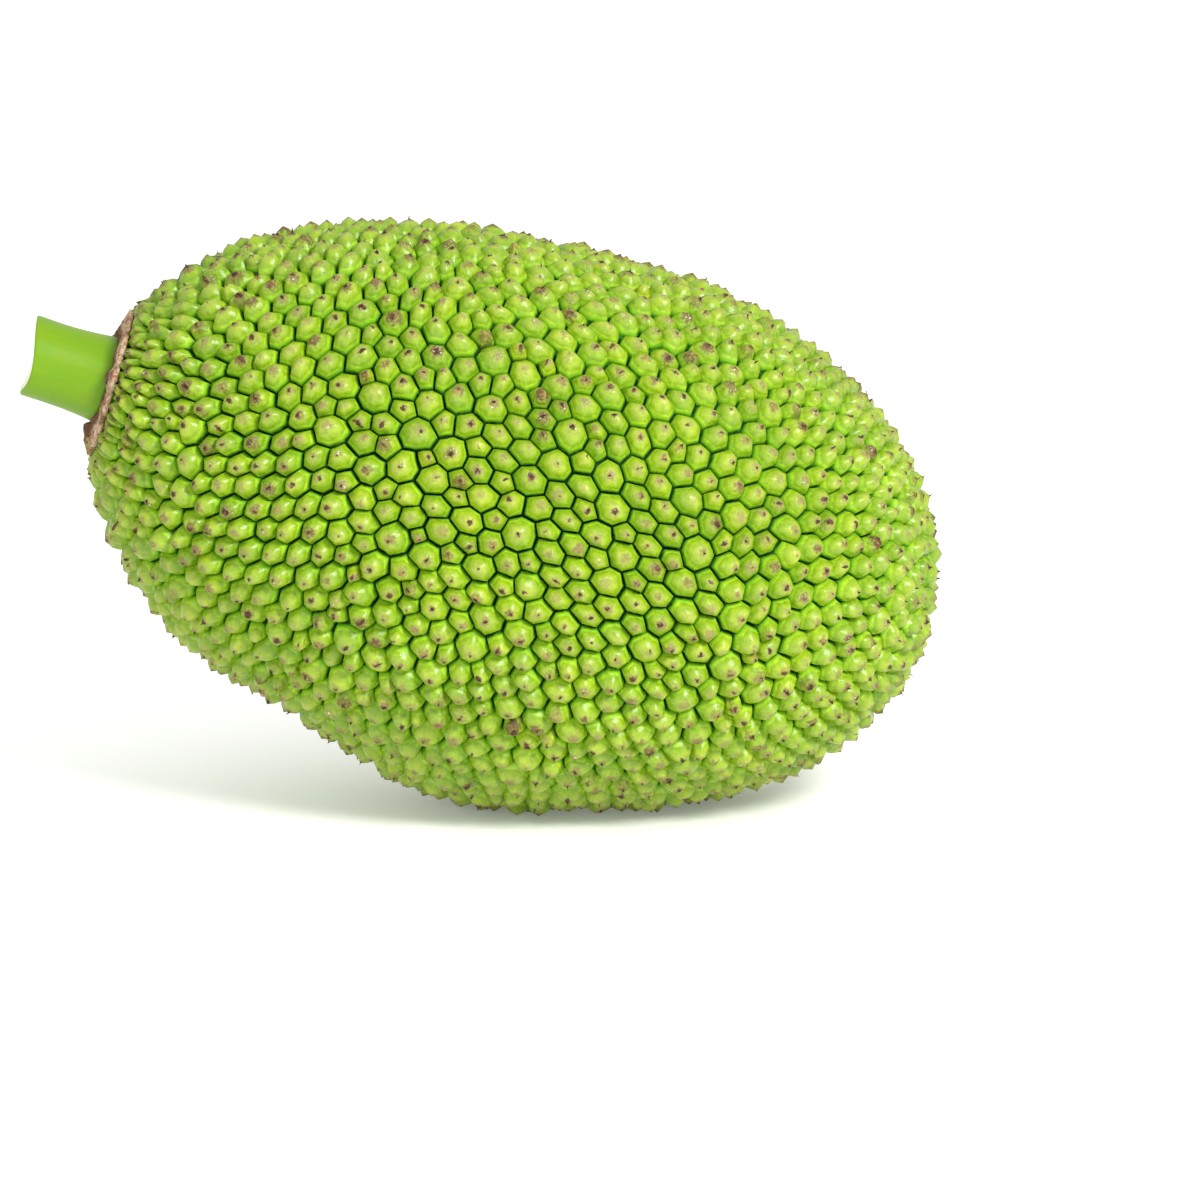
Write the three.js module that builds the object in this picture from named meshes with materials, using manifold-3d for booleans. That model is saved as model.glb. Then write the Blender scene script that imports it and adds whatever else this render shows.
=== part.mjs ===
// A young green jackfruit as picked: the fruit, its cut stalk and the corky collar where they meet.
// Millimetres, +Z up. The fruit lies on its side along X, with the stalk at -X and raised, because its
// belly is fullest near the stalk. The origin is the middle of its bounding box, on the surface it lies on.
//
// In the fruit's own frame the axis is X: station s runs from the collar's seat (0) to the blossom end,
// and a turn is counted about X from straight up. A meridian is the fruit's outline along one turn.

import * as THREE from "three";
import { ConvexHull } from "three/addons/math/ConvexHull.js";
import { mergeVertices } from "three/addons/utils/BufferGeometryUtils.js";
import Module from "manifold-3d";

// ---- Fruit
const FRUIT_LENGTH = 345; // collar's seat to blossom end
const FRUIT_RADIUS = 110; // over the tips of the tubercles, where it is widest
const WIDEST_AT = 197; // station of the widest place
const SHOULDER_REACH = 202; // from the widest place to where the stalk end would close
const SHOULDER_BLUNTNESS = 2.22; // 2 is an ellipse, and more is squarer
const MERIDIAN_STEPS = 600; // samples of the outline from the widest place to either end
const SEAT_SHARES = [0.02, 0.05, 0.1, 0.2, 0.4, 0.6, 0.8]; // and across the flat seat of the collar
const LEAN = THREE.MathUtils.degToRad(17.2); // how far the stalk end is raised
const SEAT_RISE = 3.3; // how far the collar's seat stands above the axis
const SEAT_RISE_SPAN = 20; // how far along the fruit that shift dies away

// ---- How it departs from a body of revolution
const BELLIES = [
  { height: 10, at: 172, spread: 50 }, // fuller underneath, towards the stalk
  { height: 5, at: 48, spread: 38 }, // and under the shoulder
];
const WAVES = [
  { height: 1.3, turns: 2, phase: 0.8, pitch: 900 }, // slightly oval
  { height: 1.0, turns: 3, phase: 2.1, pitch: 420 }, // three slow ribs that wander
];

// ---- Tubercles: the blunt, many-sided bumps that the rind is made of
const TUBERCLE_COUNT = 1500;
const TUBERCLE_HEIGHT = 5; // tip above the groove round it
const HEIGHT_SCATTER = 0.12; // how much taller or lower one grows, as a share
const PLEAT_COUNT = 34; // narrow ones in each ring next to the collar
const PLEAT_RINGS = [4, 12]; // their distance along the meridian from the seat's rim
const PLEAT_HEIGHT = 0.8; // as a share of a tubercle's
const FIELD_START = 17; // where the even field of tubercles starts
const SCATTER = 0.24; // how far one strays from its place, as a share of the pitch
const SCATTER_AT_END = 0.2; // and at most this share of the radius, where the blossom end closes
const SETTLE = 2.5; // how much of the lowest tips is flattened where it lies

// ---- Collar and stalk
const COLLAR_RADIUS = 29;
const COLLAR_HEIGHT = 2.4; // between its knobs
const COLLAR_KNOBS = 12;
const KNOB_STEPS = 6; // faces along one knob
const KNOB_HEIGHT = 2.7; // the tallest knob, above the collar between them
const KNOB_REACH = 0.4; // how far a knob bulges outwards, as a share of its height
const STALK_RADIUS = 16;
const STALK_LENGTH = 33; // from the seat to the cut
const STALK_RISE = 0.6; // its axis above the collar's middle
const STALK_FLARE = 1.7; // wider at the fruit
const FLARE_LENGTH = 26;
const STALK_SIDES = 40;
const CUT_EDGE = 0.9; // the small bevel round the cut end
const CUT_SLANT = 0.09; // how far the cut leans out at its top, for each millimetre up
const CUT_SCOOP = 2.1; // the knife's hollow in the cut end
const SCOOP_REACH = 0.88; // how far up and down it runs, as a share of the radius
const SCOOP_SKEW = 0.7; // how much deeper it is below the middle than above, as a share
const STALK_TILT = THREE.MathUtils.degToRad(1.8); // it rises a little from the fruit's axis
const GAP = 0.3; // between solids that touch

const GOLDEN_ANGLE = Math.PI * (3 - Math.sqrt(5));
const { sin, cos, exp, hypot, PI } = Math;

const RIND_GREEN = 0x86b838;
const CORK_TAN = 0xb19a76;
const STALK_GREEN = 0x98c934;

const wasm = await Module();
wasm.setup();

// A repeatable scatter: a number from -1 to 1 for each index and use. Its constants have no meaning.
function stray(index, use) {
  const wave = sin(index * 12.9898 + use * 78.233) * 43758.5453;
  return 2 * (wave - Math.floor(wave)) - 1;
}

// ---- The meridian, as samples that also carry the length, area and stretch so far

function meridianPoint(t) {
  // t runs from -1 at the stalk end's pole, through 0 at the widest place, to 1 at the blossom end.
  const angle = (Math.abs(t) * PI) / 2;
  if (t >= 0) {
    const reach = FRUIT_LENGTH - WIDEST_AT;
    return [WIDEST_AT + reach * sin(angle), FRUIT_RADIUS * cos(angle)];
  }
  const power = 2 / SHOULDER_BLUNTNESS;
  return [
    WIDEST_AT - SHOULDER_REACH * sin(angle) ** power,
    FRUIT_RADIUS * cos(angle) ** power,
  ];
}

function makeMeridian() {
  const outline = [];
  for (let i = 0; i <= 2 * MERIDIAN_STEPS; i++) {
    const [s, r] = meridianPoint(i / MERIDIAN_STEPS - 1);
    if (s > 0) outline.push([s, Math.max(r, 0)]);
  }
  const seatRadius = outline[0][1];
  const seat = SEAT_SHARES.map((share) => [0, share * seatRadius]);
  const samples = [...seat, ...outline].map(([s, r]) => ({ s, r }));
  let length = 0;
  let area = 0;
  let stretch = 0;
  samples.forEach((here, i) => {
    const before = samples[i - 1] ?? here;
    const step = hypot(here.s - before.s, here.r - before.r);
    const width = (here.r + before.r) / 2;
    length += step;
    area += 2 * PI * width * step;
    stretch += step / width;
    Object.assign(here, { length, area, stretch });
  });
  const after = samples.map((_, i) => samples[Math.min(i + 1, samples.length - 1)]);
  samples.forEach((here, i) => {
    const before = samples[Math.max(i - 1, 0)];
    const run = hypot(after[i].s - before.s, after[i].r - before.r);
    here.outS = -(after[i].r - before.r) / run;
    here.outR = (after[i].s - before.s) / run;
  });
  const middle = samples.find(({ s }) => s >= WIDEST_AT).stretch;
  for (const here of samples) here.stretch -= middle;
  return { samples, rim: samples[seat.length], end: samples.at(-1) };
}

const meridian = makeMeridian();

// The meridian's values where one of them, such as length or area, reaches a given value.
function alongMeridian(key, value) {
  const { samples } = meridian;
  let low = 0;
  let high = samples.length - 1;
  while (high - low > 1) {
    const middle = (low + high) >> 1;
    if (samples[middle][key] > value) high = middle;
    else low = middle;
  }
  const [a, b] = [samples[low], samples[high]];
  const share = THREE.MathUtils.clamp((value - a[key]) / (b[key] - a[key]), 0, 1);
  const mixed = {};
  for (const name of Object.keys(a)) mixed[name] = a[name] + share * (b[name] - a[name]);
  return mixed;
}

// ---- Where the tubercles stand

function scatterTubercles() {
  const places = [{ length: 0, turn: 0, height: 0 }]; // the seat's middle, which is bare
  const addRing = (length, count, firstTurn, height) => {
    for (let i = 0; i < count; i++) {
      places.push({ length, turn: firstTurn + (2 * PI * i) / count, height });
    }
  };
  const rim = meridian.rim.length;
  const halfStep = PI / PLEAT_COUNT;
  addRing(rim - PLEAT_RINGS[0], PLEAT_COUNT, 0, 0);
  PLEAT_RINGS.forEach((offset, ring) => {
    addRing(rim + offset, PLEAT_COUNT, ring * halfStep, PLEAT_HEIGHT);
  });

  const start = alongMeridian("length", rim + FIELD_START).area;
  const fieldArea = meridian.end.area - start;
  const pitch = Math.sqrt(fieldArea / TUBERCLE_COUNT);
  for (let i = 0; i < TUBERCLE_COUNT; i++) {
    const { length, r } = alongMeridian("area", start + (fieldArea * (i + 0.5)) / TUBERCLE_COUNT);
    const shift = Math.min(SCATTER * pitch, SCATTER_AT_END * r);
    places.push({
      length: length + shift * stray(i, 1),
      turn: i * GOLDEN_ANGLE + (shift / r) * stray(i, 2),
      height: 1 + HEIGHT_SCATTER * stray(i, 3),
    });
  }
  return places;
}

// The point on the fruit's outer skin at a place, and the way out of the fruit there.
function skinAt({ length, turn }) {
  const { s, r, outS, outR } = alongMeridian("length", length);
  const side = new THREE.Vector3(0, sin(turn), cos(turn));
  const lift = Math.min(r / FRUIT_RADIUS, 1);
  const under = Math.max(0, -cos(turn)) ** 2;
  let swell = 0;
  for (const { height, at, spread } of BELLIES) swell += height * under * exp(-(((s - at) / spread) ** 2));
  for (const { height, turns, phase, pitch } of WAVES) {
    swell += height * sin(turns * turn + phase + (2 * PI * s) / pitch);
  }
  const point = side.clone().multiplyScalar(r + swell * lift);
  point.x = s;
  point.z += SEAT_RISE * Math.max(0, 1 - s / SEAT_RISE_SPAN) ** 2;
  const out = side.multiplyScalar(outR);
  out.x = outS;
  return { point, out };
}

// The same place on a unit sphere, by a map that keeps angles, so that neighbours stay neighbours.
function onSphere({ length, turn }) {
  if (length === 0) return new THREE.Vector3(-1, 0, 0);
  const { stretch } = alongMeridian("length", length);
  const width = 1 / Math.cosh(stretch);
  return new THREE.Vector3(Math.tanh(stretch), width * sin(turn), width * cos(turn));
}

// A faceted skin of many-sided pyramids: one tip for each place, and a groove corner between each three.
function tubercleGeometry(places) {
  const skin = places.map(skinAt);
  const spherePoints = places.map(onSphere);
  const indexOf = new Map(spherePoints.map((point, i) => [point, i]));
  const { faces } = new ConvexHull().setFromPoints(spherePoints);
  const positions = places.flatMap((_, i) => skin[i].point.toArray());
  const cornerOf = new Map();
  for (const face of faces) {
    const three = [0, 1, 2].map((k) => indexOf.get(face.getEdge(k).head().point));
    const corner = new THREE.Vector3();
    const inward = new THREE.Vector3();
    let height = 0;
    for (const i of three) {
      corner.addScaledVector(skin[i].point, 1 / 3);
      inward.addScaledVector(skin[i].out, -1);
      height += places[i].height / 3;
    }
    const bare = three.every((i) => places[i].height === 0);
    corner.addScaledVector(inward.normalize(), bare ? 0 : TUBERCLE_HEIGHT * height);
    cornerOf.set(face, positions.length / 3);
    positions.push(...corner.toArray());
  }
  const index = [];
  for (const face of faces) {
    for (let k = 0; k < 3; k++) {
      const edge = face.getEdge(k);
      const tip = indexOf.get(edge.head().point);
      index.push(tip, cornerOf.get(face), cornerOf.get(edge.twin.face));
    }
  }
  const geometry = new THREE.BufferGeometry();
  geometry.setAttribute("position", new THREE.Float32BufferAttribute(positions, 3));
  geometry.setIndex(index);
  return geometry;
}

// ---- Booleans

function toSolid(geometry) {
  const bare = new THREE.BufferGeometry();
  bare.setAttribute("position", geometry.getAttribute("position"));
  bare.setIndex(geometry.getIndex());
  const merged = mergeVertices(bare, 1e-3);
  return new wasm.Manifold(
    new wasm.Mesh({
      numProp: 3,
      vertProperties: merged.attributes.position.array,
      triVerts: new Uint32Array(merged.index.array),
    }),
  );
}

function toGeometry(solid) {
  const { vertProperties, triVerts } = solid.getMesh();
  const geometry = new THREE.BufferGeometry();
  geometry.setAttribute("position", new THREE.BufferAttribute(vertProperties, 3));
  geometry.setIndex(new THREE.BufferAttribute(triVerts, 1));
  return geometry;
}

// ---- The pieces, each in the fruit's own frame

function makeMaterial(color, roughness) {
  return new THREE.MeshStandardMaterial({ color, roughness, metalness: 0 });
}

function makeMesh(name, geometry, material) {
  const mesh = new THREE.Mesh(geometry, material);
  mesh.name = name;
  geometry.computeVertexNormals();
  return mesh;
}

// How the fruit's frame stands: leaning, then lifted until the lowest tips are SETTLE below the surface.
function lyingPose(geometry) {
  const pose = new THREE.Matrix4().makeRotationY(LEAN);
  const lowest = new THREE.Box3().setFromBufferAttribute(
    geometry.clone().applyMatrix4(pose).getAttribute("position"),
  ).min.z;
  return pose.premultiply(new THREE.Matrix4().makeTranslation(0, 0, -lowest - SETTLE));
}

function makeFruit(whole, pose) {
  const reach = 3 * FRUIT_LENGTH;
  const under = new THREE.BoxGeometry(reach, reach, FRUIT_RADIUS);
  under.translate(0, 0, -FRUIT_RADIUS / 2).applyMatrix4(pose.clone().invert());
  const geometry = toGeometry(toSolid(whole).subtract(toSolid(under)));
  return makeMesh("fruit", geometry, makeMaterial(RIND_GREEN, 0.5));
}

// How far a circle reaches at a turn, when its middle stands above the axis.
function reachOfRaised(radius, rise, turn) {
  return rise * cos(turn) + Math.sqrt(radius ** 2 - (rise * sin(turn)) ** 2);
}

function makeCollar() {
  const steps = KNOB_STEPS * COLLAR_KNOBS;
  const positions = [];
  const index = [];
  let sides = 0;
  for (let i = 0; i < steps; i++) {
    const turn = (2 * PI * i) / steps;
    const inner = reachOfRaised(STALK_RADIUS + STALK_FLARE + 2 * GAP, STALK_RISE, turn);
    const size = KNOB_HEIGHT * (0.6 + 0.4 * stray(Math.floor(i / KNOB_STEPS), 4));
    const bulge = size * Math.abs(sin((turn * COLLAR_KNOBS) / 2));
    const outer = COLLAR_RADIUS + KNOB_REACH * bulge;
    const crest = COLLAR_HEIGHT + bulge;
    // From the seat, out and over the rounded edge to the crest, then down beside the stalk.
    const section = [
      [0, inner],
      [0, outer - 1],
      [0.4 * crest, outer],
      [0.85 * crest, outer - 3],
      [crest, (inner + outer) / 2],
      [0.8 * crest, inner],
    ];
    sides = section.length;
    for (const [high, r] of section) positions.push(-GAP - high, r * sin(turn), r * cos(turn));
  }
  for (let i = 0; i < steps; i++) {
    const next = (i + 1) % steps;
    for (let k = 0; k < sides; k++) {
      const after = (k + 1) % sides;
      const [a, b] = [i * sides + k, i * sides + after];
      const [c, d] = [next * sides + k, next * sides + after];
      index.push(a, c, b, b, c, d);
    }
  }
  const geometry = new THREE.BufferGeometry();
  geometry.setAttribute("position", new THREE.Float32BufferAttribute(positions, 3));
  geometry.setIndex(index);
  const mesh = makeMesh("stalk_collar", geometry, makeMaterial(CORK_TAN, 0.85));
  mesh.position.z = SEAT_RISE;
  return mesh;
}

function makeStalk() {
  const end = STALK_LENGTH;
  const outline = [
    [0, 0],
    [STALK_RADIUS + STALK_FLARE, 0],
    [STALK_RADIUS + 0.3 * STALK_FLARE, FLARE_LENGTH / 2],
    [STALK_RADIUS, FLARE_LENGTH],
    [STALK_RADIUS, end - CUT_EDGE],
    [STALK_RADIUS - CUT_EDGE, end],
    [STALK_RADIUS / 2, end],
    [0, end],
  ].map(([r, along]) => new THREE.Vector2(r, along));
  const geometry = new THREE.LatheGeometry(outline, STALK_SIDES);
  geometry.rotateZ(PI / 2);
  const place = geometry.getAttribute("position");
  for (let i = 0; i < place.count; i++) {
    if (place.getX(i) > -end + 2 * CUT_EDGE) continue;
    const up = place.getZ(i) / STALK_RADIUS;
    const hollow = CUT_SCOOP * Math.max(0, 1 - (up / SCOOP_REACH) ** 2) * (1 - SCOOP_SKEW * up);
    place.setX(i, place.getX(i) + hollow - CUT_SLANT * place.getZ(i));
  }
  const mesh = makeMesh("stalk", geometry, makeMaterial(STALK_GREEN, 0.45));
  mesh.position.x = -GAP - (STALK_RADIUS + STALK_FLARE) * Math.abs(sin(STALK_TILT));
  mesh.position.z = SEAT_RISE + STALK_RISE;
  mesh.rotation.y = STALK_TILT;
  return mesh;
}

// ---- The whole, standing as it rests

const wholeSkin = tubercleGeometry(scatterTubercles());
const pose = lyingPose(wholeSkin);
const lying = new THREE.Group();
lying.add(makeFruit(wholeSkin, pose), makeCollar(), makeStalk());
lying.applyMatrix4(pose);

const jackfruit = new THREE.Group();
jackfruit.add(lying);
const box = new THREE.Box3().setFromObject(jackfruit, true);
jackfruit.position.set(-(box.min.x + box.max.x) / 2, -(box.min.y + box.max.y) / 2, 0);

export default jackfruit;
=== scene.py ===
"""Dresses a young green jackfruit: its tubercled rind, dry styles, corky collar and cut stalk."""

import math
from functools import partial

import bmesh
import bpy
import numpy as np
from bpy.props import FloatProperty, FloatVectorProperty, IntProperty, PointerProperty
from mathutils import Matrix, Vector, noise


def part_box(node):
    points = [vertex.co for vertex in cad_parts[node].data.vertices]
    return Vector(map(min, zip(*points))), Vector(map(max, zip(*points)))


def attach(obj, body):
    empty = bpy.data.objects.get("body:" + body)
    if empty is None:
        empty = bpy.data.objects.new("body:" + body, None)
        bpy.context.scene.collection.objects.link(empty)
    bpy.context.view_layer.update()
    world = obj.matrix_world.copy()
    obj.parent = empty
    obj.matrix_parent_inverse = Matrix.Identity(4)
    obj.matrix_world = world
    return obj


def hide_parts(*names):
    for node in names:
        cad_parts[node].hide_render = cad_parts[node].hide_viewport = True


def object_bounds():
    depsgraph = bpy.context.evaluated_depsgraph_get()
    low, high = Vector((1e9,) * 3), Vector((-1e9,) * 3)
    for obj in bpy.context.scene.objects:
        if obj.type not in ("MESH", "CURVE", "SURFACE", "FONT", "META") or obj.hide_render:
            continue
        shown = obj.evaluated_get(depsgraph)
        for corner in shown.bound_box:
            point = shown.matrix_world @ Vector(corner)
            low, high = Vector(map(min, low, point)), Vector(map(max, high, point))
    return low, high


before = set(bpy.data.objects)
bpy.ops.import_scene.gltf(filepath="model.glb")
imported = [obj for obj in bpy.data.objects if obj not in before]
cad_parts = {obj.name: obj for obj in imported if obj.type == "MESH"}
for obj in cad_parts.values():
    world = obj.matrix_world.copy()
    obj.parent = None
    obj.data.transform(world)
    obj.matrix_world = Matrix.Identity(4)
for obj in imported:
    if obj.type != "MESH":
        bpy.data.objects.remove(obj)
CAD_LOW, CAD_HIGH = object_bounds()

bl_info = {
    "name": "Young jackfruit",
    "version": (1, 0, 0),
    "blender": (4, 5, 0),
    "location": "View3D > Sidebar > Jackfruit",
    "description": "Grows the rind, dry styles, collar and stalk of a young jackfruit round its solids",
    "category": "Add Mesh",
}

MM = 0.001
TAU = 2 * math.pi
GOLDEN_ANGLE = math.pi * (3 - math.sqrt(5))

# ---- The fruit's form, the same as the solids that the pieces replace
#
# In the fruit's own frame the axis is X: station s runs from the collar's seat (0) to the blossom end, and a
# turn is counted about X from straight up. A meridian is the fruit's outline along one turn.

FRUIT_LENGTH = 345 * MM
FRUIT_RADIUS = 110 * MM
WIDEST_AT = 197 * MM
SHOULDER_REACH = 202 * MM
SHOULDER_BLUNTNESS = 2.22
LEAN = math.radians(17.2)
SEAT_RISE = 3.3 * MM
SEAT_RISE_SPAN = 20 * MM

BELLIES = (  # fuller underneath: height, station, spread
    (10 * MM, 172 * MM, 50 * MM),
    (5 * MM, 48 * MM, 38 * MM),
)
WAVES = (  # height, turns, phase, pitch
    (1.3 * MM, 2, 0.8, 900 * MM),
    (1.0 * MM, 3, 2.1, 420 * MM),
)

MERIDIAN_STEPS = 600
STRETCH_AT_WIDEST = 0.75  # so that on the sphere the places are no denser at one end than at the other
SEAT_SHARES = (0.02, 0.05, 0.1, 0.2, 0.4, 0.6, 0.8)
PLEAT_RINGS = (  # offset from the seat's rim, count, height as a share of a tubercle's
    (-7.5 * MM, 54, 0),
    (6.0 * MM, 54, 0.76),
    (19.0 * MM, 48, 0.92),
    (31.0 * MM, 46, 1.0),
    (43.0 * MM, 46, 1.03),
)
PLEAT_HEIGHT = 0.95  # tubercles no taller than this keep their place in their ring
PLEAT_STRAY = 1.6 * MM
PLEAT_TURN_STRAY = 0.2  # as a share of the step round the ring
PLEAT_HEIGHT_STRAY = 0.08
FIELD_START = 48.5 * MM
FIELD_HEIGHT = 1.06
FIELD_HEIGHT_STRAY = 0.1
SHIFT_MOST = 0.2  # how far a tubercle may stray near the blossom end, as a share of the fruit's radius there

COLLAR_RADIUS = 29 * MM
COLLAR_HEIGHT = 2.4 * MM
COLLAR_KNOBS = 12
KNOB_HEIGHT = 2.7 * MM
KNOB_REACH = 0.4
STALK_RADIUS = 16 * MM
STALK_LENGTH = 33 * MM
STALK_RISE = 0.6 * MM
STALK_FLARE = 1.7 * MM
FLARE_LENGTH = 26 * MM
CUT_EDGE = 0.9 * MM
CUT_RINGS = 10
CUT_SLANT = 0.09
CUT_SCOOP = 2.1 * MM
SCOOP_REACH = 0.88
SCOOP_SKEW = 0.7
STALK_TILT = math.radians(1.8)
GAP = 0.3 * MM


def linear(colour):
    """An sRGB hex colour as the linear red, green, blue and alpha that a shader takes."""
    channels = [int(colour[i : i + 2], 16) / 255 for i in (1, 3, 5)]
    return tuple(c / 12.92 if c <= 0.04045 else ((c + 0.055) / 1.055) ** 2.4 for c in channels) + (1.0,)


# ---- Settings


def colour_setting(name, description, colour):
    """A colour that a user may change, given as a hex colour."""
    return FloatVectorProperty(
        name=name, description=description, default=linear(colour), size=4, min=0, max=1, subtype="COLOR"
    )


def size_setting(name, description, size):
    """A length that a user may change."""
    return FloatProperty(name=name, description=description, default=size, subtype="DISTANCE", unit="LENGTH")


def share_setting(name, description, share, most=1):
    """A share that a user may change."""
    return FloatProperty(name=name, description=description, default=share, min=0, max=most, subtype="FACTOR")


def angle_setting(name, description, degrees):
    """An angle that a user may change."""
    angle = math.radians(degrees)
    return FloatProperty(name=name, description=description, default=angle, subtype="ANGLE", unit="ROTATION")


class RindSettings(bpy.types.PropertyGroup):
    """The tubercles of the rind, their scars and their colours"""

    count: IntProperty(
        name="Tubercles",
        description="How many stand in the even field beyond the pleats round the collar",
        default=2040,
        min=200,
        max=2060,
    )
    height: size_setting("Height", "Tip of a tubercle above the groove round it", 10.6 * MM)
    scatter: share_setting("Scatter", "How far a tubercle strays, as a share of the pitch", 0.15, 0.5)
    scar_radius: size_setting("Scar radius", "Radius of the scar that the dead flower leaves", 1.6 * MM)
    dotted: share_setting("Dotted", "Share of the tips that keep the dark base of the style", 0.8)
    colour: colour_setting("Green", "Colour of the faces of the tubercles", "#7A9A0C")
    # Painted shade: the near-black green at the bottom of the grooves, over the rind's own darker green
    # there.
    groove_shade_colour: colour_setting("Groove", "Colour at the bottom of the grooves", "#042200")
    scar_colour: colour_setting("Scar", "Colour of the corky scars", "#7A6C42")


class StyleSettings(bpy.types.PropertyGroup):
    """The dry styles that still stand on some tips"""

    share: share_setting("Share", "Share of the dotted tips where the style still stands", 0.4)
    length: size_setting("Length", "Length of the longest styles", 1.6 * MM)
    radius: size_setting("Radius", "Radius of a style at its foot", 0.38 * MM)
    colour: colour_setting("Brown", "Colour of the dry styles", "#4A2C1E")


class CollarSettings(bpy.types.PropertyGroup):
    """The corky collar round the foot of the stalk"""

    lump: size_setting("Lumps", "Depth of the lumps and cracks over the knobs", 0.9 * MM)
    colour: colour_setting("Cork", "Colour of the clean cork", "#B69A78")
    # Also painted shade: this brown darkens the cork nearest the stalk.
    weathered_and_shade_colour: colour_setting("Weathered", "Colour of the weathered crest and cracks", "#40241A")


class StalkSettings(bpy.types.PropertyGroup):
    """The cut stalk"""

    colour: colour_setting("Skin", "Colour of the stalk's skin", "#689000")
    cut_colour: colour_setting("Cut", "Colour of the cut end", "#DDE3B4")


class StageSettings(bpy.types.PropertyGroup):
    """The floor, the lights and the camera"""

    elevation: angle_setting("Camera elevation", "How far above the horizon the camera stands", 11.5)
    azimuth: angle_setting("Camera azimuth", "How far round from square on, towards the blossom end", -4.6)
    distance: size_setting("Camera distance", "From the lens to the place that it looks at", 2.2)
    lens: FloatProperty(
        name="Lens",
        description="Focal length of the camera",
        default=163.8,
        min=20,
        max=200,
        subtype="DISTANCE_CAMERA",
        unit="CAMERA",
    )
    floor_colour: colour_setting("Floor", "Colour of the floor", "#FAFAF8")


class JackfruitSettings(bpy.types.PropertyGroup):
    """All the settings of the jackfruit"""

    rind: PointerProperty(type=RindSettings, name="Rind", description="The tubercles and their colours")
    styles: PointerProperty(type=StyleSettings, name="Styles", description="The dry styles")
    collar: PointerProperty(type=CollarSettings, name="Collar", description="The corky collar")
    stalk: PointerProperty(type=StalkSettings, name="Stalk", description="The cut stalk")
    stage: PointerProperty(type=StageSettings, name="Stage", description="Floor, lights and camera")


# ---- Helpers


def stray(index, use):
    """A repeatable scatter: numbers from -1 to 1 for each index and use. Its constants have no meaning."""
    wave = np.sin(np.asarray(index) * 12.9898 + use * 78.233) * 43758.5453
    return 2 * (wave - np.floor(wave)) - 1


def per_mm(size):
    """The scale at which a texture's features are this many millimetres across."""
    return 1 / (size * MM)


def add_node(tree, kind, inputs=None, stops=(), **settings):
    """Adds a node. Each input takes a value or another node's output, and stops are a ramp's colours."""
    node = tree.nodes.new(kind)
    for name, value in settings.items():
        setattr(node, name, value)
    for name, value in (inputs or {}).items():
        if isinstance(value, bpy.types.NodeSocket):
            tree.links.new(value, node.inputs[name])
        else:
            node.inputs[name].default_value = value
    for i, (position, colour) in enumerate(stops):
        ramp = node.color_ramp
        element = ramp.elements[i] if i < 2 else ramp.elements.new(position)
        element.position = position
        element.color = colour
    return node


def new_material(name):
    """An empty node material, and a function that adds a node to it."""
    material = bpy.data.materials.new(name)
    material.use_nodes = True
    material.node_tree.nodes.clear()
    return material, partial(add_node, material.node_tree)


def finished(material, add, look, relief, strength, depth):
    """The material, closed by a shader with this look over a relief of this strength and depth."""
    bump = add("ShaderNodeBump", {"Height": relief, "Strength": strength, "Distance": depth}).outputs[0]
    shader = add("ShaderNodeBsdfPrincipled", {**look, "Normal": bump}).outputs[0]
    add("ShaderNodeOutputMaterial", {"Surface": shader})
    return material


def add_mesh(name, points, faces, material, node=None):
    """A smooth mesh object at the frame's origin, which rides on the fruit and may stand for a solid."""
    mesh = bpy.data.meshes.new(name)
    mesh.from_pydata([tuple(p) for p in points], [], faces)
    mesh.validate()
    mesh.shade_smooth()
    piece = bpy.data.objects.new(name, mesh)
    bpy.context.scene.collection.objects.link(piece)
    mesh.materials.append(material)
    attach(piece, "root")
    if node:
        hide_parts(node)
    return piece


def add_values(piece, domain, name, values):
    """Stores a number or a vector at each point or face corner, under a name that a shader can read."""
    kind, field = ("FLOAT", "value") if values.ndim == 1 else ("FLOAT_VECTOR", "vector")
    attribute = piece.data.attributes.new(name, kind, domain)
    attribute.data.foreach_set(field, values.astype(np.float32).ravel())


def unit(vectors):
    """Vectors of length one."""
    return vectors / np.linalg.norm(vectors, axis=-1, keepdims=True)


# ---- The meridian


def meridian_point(t):
    """Station and radius where t runs from -1 at the stalk end, through 0 at the widest place, to 1."""
    angle = abs(t) * math.pi / 2
    if t >= 0:
        return WIDEST_AT + (FRUIT_LENGTH - WIDEST_AT) * math.sin(angle), FRUIT_RADIUS * math.cos(angle)
    power = 2 / SHOULDER_BLUNTNESS
    return WIDEST_AT - SHOULDER_REACH * math.sin(angle) ** power, FRUIT_RADIUS * math.cos(angle) ** power


def make_meridian():
    """The outline as arrays, with its length, area and stretch so far and the way out of the fruit."""
    outline = [meridian_point(i / MERIDIAN_STEPS - 1) for i in range(2 * MERIDIAN_STEPS + 1)]
    outline = [(s, max(r, 0)) for s, r in outline if s > 0]
    seat = [(0, share * outline[0][1]) for share in SEAT_SHARES]
    s, r = np.array(seat + outline).T
    step = np.hypot(np.diff(s), np.diff(r))
    width = (r[1:] + r[:-1]) / 2
    line = {"s": s, "r": r}
    for name, growth in (("length", step), ("area", TAU * width * step), ("stretch", step / width)):
        line[name] = np.concatenate([[0], np.cumsum(growth)])
    line["stretch"] += STRETCH_AT_WIDEST - line["stretch"][np.argmax(s >= WIDEST_AT)]
    before = np.maximum(np.arange(len(s)) - 1, 0)
    after = np.minimum(np.arange(len(s)) + 1, len(s) - 1)
    run = np.hypot(s[after] - s[before], r[after] - r[before])
    line["out_s"] = -(r[after] - r[before]) / run
    line["out_r"] = (s[after] - s[before]) / run
    return line, line["length"][len(seat)]


MERIDIAN, RIM_LENGTH = make_meridian()


def along_meridian(key, value, wanted):
    """One of the meridian's values where another of them reaches a given value."""
    return np.interp(value, MERIDIAN[key], MERIDIAN[wanted])


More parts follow.
